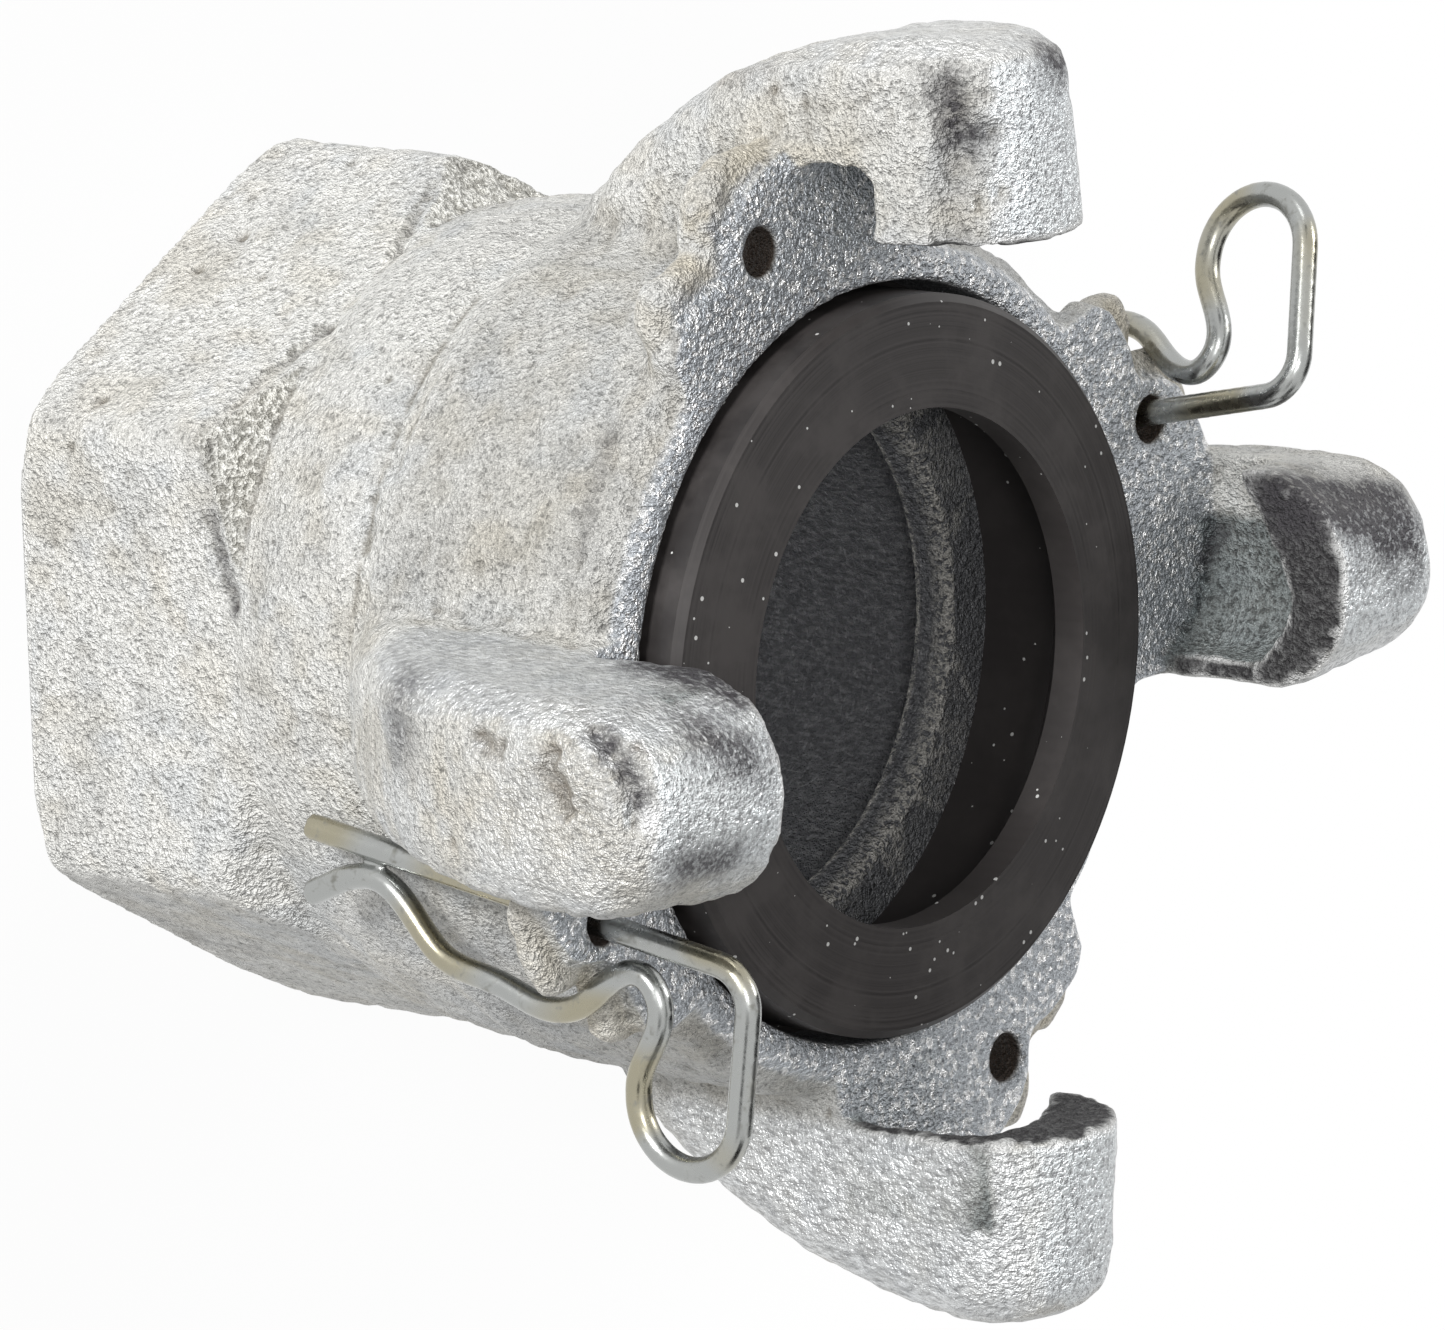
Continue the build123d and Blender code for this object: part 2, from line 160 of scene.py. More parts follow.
# Dark marks: tarnish patches, and painted shade along the rope of flash, the valley and the crease
TARNISH_AND_SHADE_MARKS = (
    (0.45, 0.45, ((-15.1, 51.9, 77.0), (-19.1, 50.1, 77.0), (-22.9, 48.4, 77.0), (-23.2, 45.0, 77.0),
                  (-23.6, 42.6, 77.0), (-27.8, 40.3, 77.0), (-29.8, 38.7, 77.0), (-29.4, 36.7, 77.0),
                  (-30.2, 31.4, 77.0))),
    (1.0, 2.0, VALLEY[:3]), (0.45, 1.6, VALLEY[2:]), (0.95, 2.6, ((1.0, 61.0, 99.4), (5.5, 60.6, 99.6))),
    (0.60, 1.0, ((-8.2, 55.1, 98.8),)), (1.2, 1.2, CREASE[:4]), (0.30, 0.9, CREASE[3:]),
    (0.55, 3.2, ((-56.1, 6.2, 64.2), (-57.8, 1.8, 65.5))),
    (0.85, 2.4, ((-45.9, 9.1, 85.4), (-46.6, 9.0, 92.0))),
    (0.95, 2.4, ((-46.6, 9.0, 92.0), (-45.2, 7.8, 96.3))),
    (0.80, 3.0, ((-52.7, 5.6, 98.2), (-48.6, 2.3, 100.7))),
    (0.80, 2.4, ((-57.0, -6.0, 99.0), (-51.0, -7.0, 99.8))),
    (1.5, 4.6, ((44.3, 11.6, 96.0), (49.1, 10.0, 97.8), (54.6, 7.5, 99.5))),
    (0.80, 1.0, ((50.6, 1.5, 78.4), (51.7, 4.5, 79.5))),
    (0.40, 1.2, ((-33.0, 27.8, 71.5), (-38.6, 17.6, 73.0))),
)
BROWN = (
    (1.3, 1.0, ((-63.5, 4.4, 89.1), (-63.7, 2.4, 88.3), (-63.7, 1.1, 90.0), (-63.7, -0.5, 90.7))),
    (0.8, 0.9, ((-61.8, 4.7, 78.5), (-62.8, 3.7, 82.0))), (0.8, 0.8, ((-60.3, 5.3, 97.3),)),
    (0.5, 0.8, ((-61.0, -6.7, 73.9),)), (0.5, 0.9, ((-11.7, 58.0, 75.3),)),
    (0.45, 1.0, ((-9.1, 57.8, 67.4), (-10.4, 59.6, 74.3))), (0.45, 0.9, ((-35.9, 24.9, 8.3),)),
    (0.45, 0.9, ((-13.6, 37.8, 7.4),)), (0.45, 0.9, ((-18.7, 34.8, 5.7),)),
)
# Painted highlight: a white spot on the front of the claw on -X
HIGHLIGHT_MARKS = ((1.0, 0.9, ((-61.3, -0.6, 99.3), (-61.6, -1.8, 99.0))),)
MARK_SEED = 31

# Colours of the casting
PALE_SKIN, TAN_SKIN, COOL_SKIN = (0.915, 0.91, 0.875), (0.76, 0.71, 0.60), (0.72, 0.75, 0.775)
# Colour of painted highlight on the ridges
# Colour of painted shade along the borders of the corner recesses
# Colour of painted shade in the hollows
HOLLOW_SHADE, RIDGE_HIGHLIGHT, SEAM_SHADE = (0.30, 0.28, 0.24), (0.90, 0.90, 0.88), (0.16, 0.15, 0.13)
GRIT = ((0.34, 0.33, 0.29), (0.97, 0.96, 0.90))
# Streaky silver: the plating's silver with painted reflection streaks, and painted shade on the claws' stop sides
SILVER_AND_REFLECTION = ((0.30, 0.31, 0.325), (0.72, 0.74, 0.755))
# Bright tip colour: the plating's silver with a painted highlight
TIP_SILVER_AND_HIGHLIGHT = (0.80, 0.84, 0.86)
# Flange grey, with white cells that are painted glints
FLANGE_AND_GLINTS = ((0.50, 0.525, 0.555), (1.0, 1.0, 1.0))
LIP = ((0.040, 0.038, 0.040), (0.15, 0.15, 0.15))
# Pocket colours: painted shade inside the claws' pockets
POCKET_SHADE = ((0.06, 0.07, 0.072), (0.24, 0.275, 0.28))
# Bore colours: painted shade inside the bore
BORE_SHADE = ((0.15, 0.152, 0.162), (0.26, 0.263, 0.272))
# Colour of painted highlight along the lip's rim
# Colour of painted highlight along the throat's edges
THROAT_HIGHLIGHT, RIM_HIGHLIGHT = (0.62, 0.60, 0.56), (0.80, 0.80, 0.79)
# Colour of tarnish patches and of painted shade lines
TARNISH_AND_SHADE_BLACK, RUST_BROWN = (0.060, 0.056, 0.062), (0.125, 0.09, 0.055)
# Colour of a painted highlight spot
# Colour of painted shade inside the clip holes
HIGHLIGHT_WHITE, HOLE_SHADE = (0.98, 0.98, 0.98), (0.035, 0.022, 0.014)
# Sizes of its textures in millimetres, and how the needles are drawn out along the part
GRAIN_CELL, NEEDLE_CELL, GLINT_CELL = 0.66, 0.50, 0.60
NEEDLE_SCALE = (1.0, 1.0, 0.36)
BUMP_DEPTH = 1.4

# Colours of the rubber and the wire
RUBBER = ((0.022, 0.019, 0.0185), (0.046, 0.041, 0.040))
RUBBER_CLOUD, DUST = (0.052, 0.0465, 0.045), (0.75, 0.75, 0.73)
WIRE_ZINC, WIRE_YELLOW, WIRE_STREAK = (0.39, 0.40, 0.39), (0.37, 0.345, 0.26), (0.24, 0.24, 0.22)

# Clips and washer: size of the clip's voxels, rounds of smoothing, and the washer's edge radius
CLIP_VOXEL = 0.3
CLIP_ROUNDS = 6
WASHER_EDGE = 0.35
WASHER_EDGE_ANGLE = 25

# Camera fitted to the photograph: place in metres, and its right, up and back directions
CAMERA_PLACE = (-0.786755, 0.214584, 0.718503)
CAMERA_RIGHT = (0.63829, -0.03113, 0.76917)
CAMERA_UP = (0.17850, 0.97793, -0.10856)
CAMERA_BACK = (-0.74881, 0.20659, 0.62976)
CAMERA_LENS = 265.033
CAMERA_SENSOR = 36.0

# Floor: share of plain white near the part, where its shadow falls, and the distances in millimetres
# between which it grows to all
FLOOR_GLOW = 0.955
FLOOR_NEAR = 70.0
FLOOR_FAR = 140.0
FLOOR_COLOUR = (0.86, 0.86, 0.86)
FLOOR_ROUGH = 0.9
FLOOR_HALF = 12.0
FLOOR_DROP = 0.00002
# Light that the floor and the world throw on the object
FLOOR_BOUNCE = 0.42
WORLD_BOUNCE = 0.20

# Lamps: place in metres, side in metres and power in watts. Cards: place and side. All face the aim.
AIM = (0, 0, 0.05)
LAMPS = {
    "key": ((-1.45, 0.80, 0.24), 0.34, 21.0),
    "top": ((-0.1, 1.5, 0.35), 0.4, 1.6),
    "side": ((0.9, 0.5, 1.0), 0.4, 4.5),
    "front": ((-1.1, 0.35, 1.15), 0.3, 6.5),
}
CARDS = {
    "flag_right": ((0.9, -0.25, 0.75), 0.9),
    "flag_low": ((-0.1, -1.0, 0.6), 0.7),
    "flag_left": ((-1.05, -0.55, 0.75), 0.42),
    "flag_up": ((-0.35, 1.25, 0.75), 0.38),
}
CARD_COLOUR = (0.02, 0.02, 0.02, 1)


# Noise and masks, worked out on arrays of points in millimetres

def hashed(cells, seed):
    """A number from -1 to 1 for each whole-number cell."""
    x, y, z = (cells[:, k].astype(np.int64) for k in range(3))
    h = (x * 73856093) ^ (y * 19349663) ^ (z * 83492791) ^ (seed * 2654435761)
    h &= 0xFFFFFFFF
    h = ((h ^ (h >> 13)) * 1274126177) & 0xFFFFFFFF
    h = (h ^ (h >> 16)) & 0xFFFFFFFF
    return h / float(0x7FFFFFFF) - 1.0


def noise(points, cell, seed):
    """Smooth noise from -1 to 1 with bumps about one cell across."""
    p = points / cell + 100.0
    base = np.floor(p)
    f = p - base
    u = f * f * f * (f * (f * 6 - 15) + 10)
    total = np.zeros(len(points))
    for corner in range(8):
        step = np.array([corner & 1, (corner >> 1) & 1, (corner >> 2) & 1])
        weight = np.prod(np.where(step, u, 1 - u), axis=1)
        total += weight * hashed(base + step, seed)
    return total


def bumps(points, layers):
    """Sum of layers of noise, each with its height, cell and seed."""
    return sum(height * noise(points, cell, seed) for height, cell, seed in layers)


def rise(values, start, end):
    """0 before start and 1 after end, smooth between."""
    t = np.clip((values - start) / (end - start), 0, 1)
    return t * t * (3 - 2 * t)


def band(values, low, high, soft):
    """1 between low and high, falling to 0 over a soft margin on each side."""
    return rise(values, low - soft, low) * (1 - rise(values, high, high + soft))


def quarter(points):
    """Each point turned back to the claw on +X: outward, sideways and axial parts, and the claw's number."""
    angle = np.arctan2(points[:, 1], points[:, 0])
    index = np.round(angle / (math.pi / 2)).astype(int) % 4
    turn = -index * math.pi / 2
    c, s = np.cos(turn), np.sin(turn)
    out = points[:, 0] * c - points[:, 1] * s
    side = points[:, 0] * s + points[:, 1] * c
    return out, side, points[:, 2], index


def around(points):
    """Angle round the part's axis in degrees, from 0 to 360."""
    return np.degrees(np.arctan2(points[:, 1], points[:, 0])) % 360


# Meshes as arrays

def coordinates(mesh):
    """Vertex places in metres."""
    co = np.empty(len(mesh.vertices) * 3, np.float32)
    mesh.vertices.foreach_get("co", co)
    return co.reshape(-1, 3).astype(float)


def normals(mesh):
    no = np.empty(len(mesh.vertices) * 3, np.float32)
    mesh.vertex_normals.foreach_get("vector", no)
    return no.reshape(-1, 3).astype(float)


def edges(mesh):
    e = np.empty(len(mesh.edges) * 2, np.int32)
    mesh.edges.foreach_get("vertices", e)
    return e.reshape(-1, 2)


def neighbour_mean(values, pairs, degree):
    """Mean over each vertex's neighbours."""
    columns = []
    for k in range(values.shape[1]):
        a = np.bincount(pairs[:, 0], values[pairs[:, 1], k], len(values))
        b = np.bincount(pairs[:, 1], values[pairs[:, 0], k], len(values))
        columns.append((a + b) / degree)
    return np.stack(columns, 1)


def smoothed(co, pairs, weight, rounds):
    """Points drawn halfway to their neighbours' mean, by a weight for each point."""
    degree = np.bincount(pairs.ravel(), minlength=len(co))
    for _ in range(rounds):
        co = co + (neighbour_mean(co, pairs, degree) - co) * (0.5 * weight)[:, None]
    return co


def applied(obj):
    """The object's mesh with its modifiers applied, and the modifiers removed."""
    graph = bpy.context.evaluated_depsgraph_get()
    mesh = bpy.data.meshes.new_from_object(obj.evaluated_get(graph))
    obj.modifiers.clear()
    obj.data = mesh
    return mesh


def store(mesh, name, values):
    """Keeps one value from 0 to 1 for each vertex, for the material to read."""
    attribute = mesh.attributes.get(name) or mesh.attributes.new(name, "FLOAT", "POINT")
    attribute.data.foreach_set("value", np.clip(values, 0, 1).astype(np.float32))


def add_object(name, data):
    obj = bpy.data.objects.new(name, data)
    bpy.context.scene.collection.objects.link(obj)
    return obj


def settle(mesh, co):
    """Puts new vertex places, in millimetres, into the mesh."""
    mesh.vertices.foreach_set("co", (co * MM).astype(np.float32).ravel())
    mesh.update()


def square(name, half):
    mesh = bpy.data.meshes.new(name)
    mesh.from_pydata([(-half, -half, 0), (half, -half, 0), (half, half, 0), (-half, half, 0)], [], [(0, 1, 2, 3)])
    return add_object(name, mesh)


# The casting's own surface

def hole_distance(points):
    """Distance from the nearest clip hole's axis."""
    best = np.full(len(points), 1e9)
    for k in range(4):
        a = math.radians(EAR_ANGLE + 90 * k)
        offset = points[:, :2] - HOLE_CIRCLE * np.array([math.cos(a), math.sin(a)])
        best = np.minimum(best, np.hypot(offset[:, 0], offset[:, 1]))
    return best


def path_distance(points, path):
    """Distance from a path of straight pieces, or from one place."""
    path = np.array(path, float)
    if len(path) == 1:
        return np.linalg.norm(points - path[0], axis=1)
    best = np.full(len(points), 1e9)
    for start, end in zip(path[:-1], path[1:]):
        along = end - start
        share = np.clip((points - start) @ along / (along @ along), 0, 1)
        best = np.minimum(best, np.linalg.norm(points - start - share[:, None] * along, axis=1))
    return best


def corner_marks(strength, width, path):
    """The same mark at each hexagon corner that has the recess."""
    turned = []
    for degrees in RECESS_TURNS:
        c, s = math.cos(math.radians(degrees)), math.sin(math.radians(degrees))
        turned.append((strength, width, tuple((x * c - y * s, x * s + y * c, z) for x, y, z in path)))
    return tuple(turned)


def marked(points, marks, ragged=0.35):
    """Sum of the marks, each with an uneven edge."""
    total = np.zeros(len(points))
    for strength, width, path in marks:
        low, high = np.min(path, axis=0) - 3 * width, np.max(path, axis=0) + 3 * width
        near = np.flatnonzero(((points > low) & (points < high)).all(axis=1))
        if len(near):
            place = points[near]
            distance = path_distance(place, path) / width
            distance = distance * (1 + ragged * noise(place, max(0.9, 0.6 * width), MARK_SEED))
            total[near] += strength * np.exp(-distance ** 2)
    return total


def cast_masks(points, normal):
    """Where each kind of surface is, from 0 to 1."""
    out, side, z, index = quarter(points)
    radius = np.hypot(points[:, 0], points[:, 1])
    turn = index * math.pi / 2
    facing_out = normal[:, 0] * np.cos(turn) + normal[:, 1] * np.sin(turn)
    facing_side = -normal[:, 0] * np.sin(turn) + normal[:, 1] * np.cos(turn)
    on_claw = rise(out, CLAW_ROOT_DEPTH, CLAW_ROOT_DEPTH + 2) * band(side, *CLAW_SIDES, 0.5)
    hole = 1 - rise(hole_distance(points), HOLE_RADIUS + 0.1, HOLE_RADIUS + 0.5)
    hole *= 1 - rise(z, FLANGE_FACE - 0.5, FLANGE_FACE - 0.1)
    inside = 1 - rise(radius, MACHINED_RADIUS, MACHINED_RADIUS + 1)
    inside *= 1 - rise(z, FLANGE_FACE - 0.6, FLANGE_FACE)
    front = rise(normal[:, 2], 0.45, 0.8) * band(z, FLANGE_FACE - 0.9, FLANGE_FACE + 1.2, 0.4)
    front *= rise(radius, MACHINED_RADIUS - 1.5, MACHINED_RADIUS - 0.5)
    lip = rise(-facing_out, 0.7, 0.9) * band(out, CLAW_INNER - 1.5, CLAW_INNER + 1.2, 0.4)
    lip *= rise(z, FLANGE_FACE + 0.8, FLANGE_FACE + 1.8)
    pocket = band(side, *POCKET_SIDES, 1.5) * band(z, FLANGE_FACE + 0.6, POCKET_ROOF + 0.6, 0.8)
    pocket *= band(out, *POCKET_DEPTHS, 0.6) * (1 - lip)
    # Sheen: the streaky silver on the claw tips, stop sides and crowns is painted reflection; on the stop sides it
    # is also painted shade
    tip = rise(z, 95.6, 97.6) * rise(normal[:, 2], 0.62, 0.92)
    flat = rise(-facing_side, 0.35, 0.75) * on_claw * rise(z, 53, 58)
    crown = rise(facing_out, 0.55, 0.85) * on_claw * rise(z, 72, 84)
    sheen = np.maximum(np.maximum(tip, 0.85 * flat), 0.45 * crown) * (1 - lip) * (1 - pocket)
    recessed = 1 - band(around(points), *PLAIN_CORNER, 3)
    shoulder = rise(normal[:, 2], 0.25, 0.45) * band(z, *SHOULDER_HEIGHTS, 0.5)
    shoulder *= rise(radius, SHOULDER_RADIUS, SHOULDER_RADIUS + 0.8)
    return {
        "inside": inside, "front": front, "lip": lip, "sheen": sheen, "tip": tip,
        "pocket": pocket, "hole": hole, "shoulder": shoulder * recessed,
        # Border of each corner recess, which gets painted shade
        "recess_edge_shade": 4 * shoulder * (1 - shoulder) * recessed,
    }


def skin_relief(co, masks, cast):
    """Height of the uneven skin, cut marks and ridges above the plain form, in millimetres."""
    out, _, z, _ = quarter(co)
    radius = np.hypot(co[:, 0], co[:, 1])
    degrees = around(co)
    coarse = rise(noise(co, 11.0, 12), -0.1, 0.35)
    skin = bumps(co, SKIN_BUMPS) + coarse * bumps(co, COARSE_BUMPS)
    skin *= cast * (1 - masks["front"]) * (1 - 0.5 * masks["sheen"])
    skin += masks["front"] * bumps(co, FRONT_BUMPS) + masks["lip"] * bumps(co, LIP_BUMPS)
    # Rough rim of each ear's plate
    rim = band(degrees % 90, 12.0, 46.0, 2.0) * band(z, 71.0, FLANGE_FACE - 0.9, 0.7)
    rim *= rise(radius, 43.0, 44.0) * (1 - rise(out, 54.0, 56.0)) * rise(hole_distance(co), 3.0, 4.2)
    skin += rim * bumps(co, EAR_BUMPS)
    skin -= masks["shoulder"] * (SHOULDER_SINK + bumps(co, SHOULDER_BUMPS))
    skin -= cast * marked(co, CUTS)
    skin -= marked(co, corner_marks(0.6, 0.8, SEAM_FLATS) + corner_marks(0.2, 0.7, SEAM_NECK), 0.15)
    skin += PAD_RISE * rise(z, 47.6, 48.4) * band(degrees, *PAD_DEGREES, 2.5) * (1 - rise(z, 66, 72)) * cast
    groove = np.exp(-((z - GROOVE_HEIGHT) / GROOVE_HALF) ** 2) * band(degrees, *GROOVE_DEGREES, 4)
    return skin - GROOVE_DEPTH * groove * cast


def cast_share(co):
    """1 where the surface is as cast, 0 where it is machined."""
    radius = np.hypot(co[:, 0], co[:, 1])
    cast = rise(radius, MACHINED_RADIUS + 0.2, MACHINED_RADIUS + 1.5)
    cast *= rise(co[:, 2], 0.3, 1.5) * rise(hole_distance(co), 2.8, 4.5)
    face = band(co[:, 2], FLANGE_FACE - 1.0, FLANGE_FACE + 0.5, 0.3) * (1 - rise(radius, 46, 52))
    return cast * (1 - 0.8 * face)


def with_fillets(mesh, co, pairs, cast):
    """The points with hollows smoothed further than ridges, as cast fillets are."""
    degree = np.bincount(pairs.ravel(), minlength=len(co))
    settle(mesh, co)
    for _ in range(2):
        wide = smoothed(co, pairs, np.ones(len(co)), 10)
        outward = ((wide - co) * normals(mesh)).sum(1)
        hollow = rise(outward, 0.03, 0.12) * cast * rise(co[:, 2], 24, 40)
        hollow *= 1 - 0.8 * (1 - rise(np.linalg.norm(co - np.array(CLAW_ROOT), axis=1), 9.0, 13.0))
        for _ in range(3):
            hollow = np.maximum(hollow, neighbour_mean(hollow[:, None], pairs, degree)[:, 0])
        co = smoothed(co, pairs, hollow, 14)
        settle(mesh, co)
    return co


def in_box(co):
    """The points kept inside the solid's box, with the foot flat on the floor."""
    co = np.clip(co, np.array(cad_low) / MM + BOX_MARGIN, np.array(cad_high) / MM - BOX_MARGIN)
    co[:, 2] = np.where(co[:, 2] < FOOT_HEIGHT, 0.0, co[:, 2])
    return co


def make_casting():
    """The casting as cast: rounded edges, fillets, rope of flash, wavy skin, cuts and pits."""
    casting = add_object("casting", with_ropes(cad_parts["coupling_body"].data))
    remesh = casting.modifiers.new("voxels", "REMESH")
    remesh.mode = "VOXEL"
    remesh.voxel_size = VOXEL * MM
    mesh = applied(casting)
    co = coordinates(mesh) / MM
    pairs = edges(mesh)
    co = smoothed(co, pairs, np.ones(len(co)), 2)
    cast = cast_share(co)
    co = smoothed(co, pairs, cast * rise(co[:, 2], 20, 45), 4)
    co = with_fillets(mesh, co, pairs, cast)
    normal = normals(mesh)
    settle(mesh, in_box(warp(co + normal * skin_relief(co, cast_masks(co, normal), cast)[:, None])))
    thin = casting.modifiers.new("thin", "DECIMATE")
    thin.ratio = TRIANGLES / sum(len(p.vertices) - 2 for p in mesh.polygons)
    mesh = applied(casting)
    mesh.shade_smooth()
    finish_casting(mesh)
    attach(casting, BODY)
    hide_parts("coupling_body")
    return casting


def swept_faces(steps, sides):
    """Faces of a closed bar whose rings of vertices follow one another, with both ends capped."""
    faces = []
    for i in range(steps):
        for k in range(sides):
            a, b = i * sides + k, i * sides + (k + 1) % sides
            faces.append((a, a + sides, b + sides, b))
    faces.append(tuple(range(sides)))
    faces.append(tuple(steps * sides + k for k in reversed(range(sides))))
    return faces


def tube(path, radii, sides=10):
    """Closed round bar along a level path, as vertices and faces."""
    verts = []
    last = len(path) - 1
    for i in range(last + 1):
        along = path[min(i + 1, last)] - path[max(i - 1, 0)]
        along = along / np.linalg.norm(along)
        across = np.cross(along, (0.0, 0.0, 1.0))
        across = across / np.linalg.norm(across)
        up = np.cross(across, along)
        for k in range(sides):
            a = 2 * math.pi * k / sides
            verts.append(path[i] + radii[i] * (math.cos(a) * across + math.sin(a) * up))
    return verts, swept_faces(last, sides)


def rope_path(k):
    """Path and radii of the rounded flash round the ear beside claw k."""
    angle = k * math.pi / 2
    c, s = math.cos(angle), math.sin(angle)
    path, radii = [], []
    for i, (x, y, r) in enumerate(EAR_ROPE):
        # The seen ear keeps the photographed path; the others wander a little from it
        shift = 0.0 if k == SEEN_EAR else 0.5 * math.sin(1.9 * i + 2.1 * k)
        x, y = x + shift * 0.6, y + shift * 0.4
        path.append(np.array([x * c - y * s, x * s + y * c, ROPE_HEIGHT + 0.3 * math.sin(1.3 * i + k)]))
        radii.append(r * (SEEN_ROPE_SCALE if k == SEEN_EAR else 1.0))
    return path, radii


def with_ropes(mesh):
    """A copy of the solid's mesh with the ears' ropes of flash set into it."""
    co = coordinates(mesh) / MM
    verts = [tuple(p) for p in co]
    faces = [tuple(p.vertices) for p in mesh.polygons]
    for k in range(4):
        path, radii = rope_path(k)
        more, rings = tube(path, radii)
        faces += [tuple(v + len(verts) for v in ring) for ring in rings]
        verts += [tuple(p) for p in more]
    joined = bpy.data.meshes.new("casting")
    joined.from_pydata([tuple(v * MM for v in p) for p in verts], [], faces)
    joined.update()
    return joined


def warp(co):
    """The casting's own errors against its plan."""
    _, _, z, index = quarter(co)
    radius = np.hypot(co[:, 0], co[:, 1])
    co = co.copy()
    co[:, 1] += CORE_SHIFT * (1 - rise(z, 28, 52)) * rise(radius, 33.5, 36.5)
    co[:, 1] -= CORE_PRESSED * np.minimum(co[:, 1] + MACHINED_RADIUS, 0) * (1 - rise(z, 26, 34))
    co[:, 2] -= np.array(CLAW_SHORT)[index] * rise(z, 82, 96) * rise(radius, 40, 44)
    return co


def finish_casting(mesh):
    """Masks and tints for the material, one value for each vertex."""
    co = coordinates(mesh) / MM
    normal = normals(mesh)
    pairs = edges(mesh)
    radius = np.hypot(co[:, 0], co[:, 1])
    z = co[:, 2]
    masks = cast_masks(co, normal)
    ropes = np.zeros(len(co))
    for k in range(4):
        ropes = np.maximum(ropes, 1 - rise(path_distance(co, rope_path(k)[0]), 1.9, 2.6))
    ropes *= 1 - rise(z, FLANGE_FACE - 0.6, FLANGE_FACE - 0.2)
    masks["front"] *= 1 - ropes

    # Hollows and ridges, found where the smoothed surface leaves the real one: the hollows get painted shade and
    # the ridges a painted highlight
    wide = smoothed(co, pairs, np.ones(len(co)), 3)
    wider = smoothed(wide, pairs, np.ones(len(co)), 9)
    bend = ((wide - co) * normal).sum(1)
    broad_bend = ((wider - co) * normal).sum(1)
    masks["cavity"] = rise(bend, 0.02, 0.16)
    masks["ridge"] = rise(-bend, 0.03, 0.16)
    # Painted highlight along the edge round the turned-in lip
    near_lip = band(quarter(co)[0], CLAW_INNER - 0.8, CLAW_INNER + 1.0, 0.7) * rise(z, 80, 83)
    masks["rim"] = rise(-broad_bend, 0.16, 0.34) * near_lip
    # Painted highlight along the two edges of the throat
    masks["throat_edge"] = np.maximum(*(band(radius, *across, 0.3) * band(z, *along, 0.4)
                                        for across, along in THROAT_EDGES))

    # Stains, dirt and tarnish, with painted shade lines and a painted highlight
    cloud = 0.5 * noise(co, 9.0, 21) + 0.5 * noise(co, 2.6, 22)
    other = 0.5 * noise(co, 11.0, 23) + 0.5 * noise(co, 2.8, 24)
    warm = rise(cloud, -0.1, 0.5) * 0.4 + marked(co, TAN) + 0.6 * ropes
    masks["warm"] = warm
    masks["cool"] = rise(other, 0.0, 0.5) * 0.45 * (1 - warm.clip(0, 1))
    # Painted shadow lines along the edges of the corner recesses
    recess_edge_shadows = corner_marks(0.62, 0.65, SEAM_FLATS) + corner_marks(0.35, 0.6, SEAM_NECK)
    # Tarnish patches and painted shade lines
    masks["tarnish_and_shade"] = marked(co, TARNISH_AND_SHADE_MARKS) + marked(co, recess_edge_shadows, 0.2)
    masks["brown"] = marked(co, BROWN)
    # Painted highlight spot
    masks["highlight_spot"] = marked(co, HIGHLIGHT_MARKS, 0.1)
    shade = 1.0 - 0.08 * rise(z, 28, 32) - 0.14 * rise(z, 46, 50) * (1 - rise(radius, 44, 48))
    masks["shade"] = shade - 0.10 * rise(noise(co, 4.0, 25), 0.1, 0.6)
    for name, values in masks.items():
        store(mesh, name, values)


# Thread ridge in the bore, left plain in the solid

def make_thread():
    """One helical ridge that stands in from the bore wall, run out at both ends."""
    turns = (THREAD_END - THREAD_START - 2 * THREAD_MARGIN) / THREAD_PITCH
    steps = int(THREAD_STEPS * turns)
    height = THREAD_RADIUS - THREAD_CREST
    verts = []
    for i in range(steps + 1):
        t = i / steps
        angle = 2 * math.pi * turns * t
        ends = min(1.0, t * turns / 0.5, (1 - t) * turns / 0.8)
        for depth, along in THREAD_SECTION:
            r = THREAD_RADIUS + depth * height * ends if depth < 0 else THREAD_RADIUS + depth
            z = THREAD_START + THREAD_MARGIN + turns * THREAD_PITCH * t + along * THREAD_PITCH
            verts.append((r * math.cos(angle) * MM, r * math.sin(angle) * MM, z * MM))
    mesh = bpy.data.meshes.new("thread_ridge")
    mesh.from_pydata(verts, [], swept_faces(steps, len(THREAD_SECTION)))
    mesh.update()
    ridge = add_object("thread_ridge", mesh)
    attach(ridge, BODY)
    return ridge


# Materials

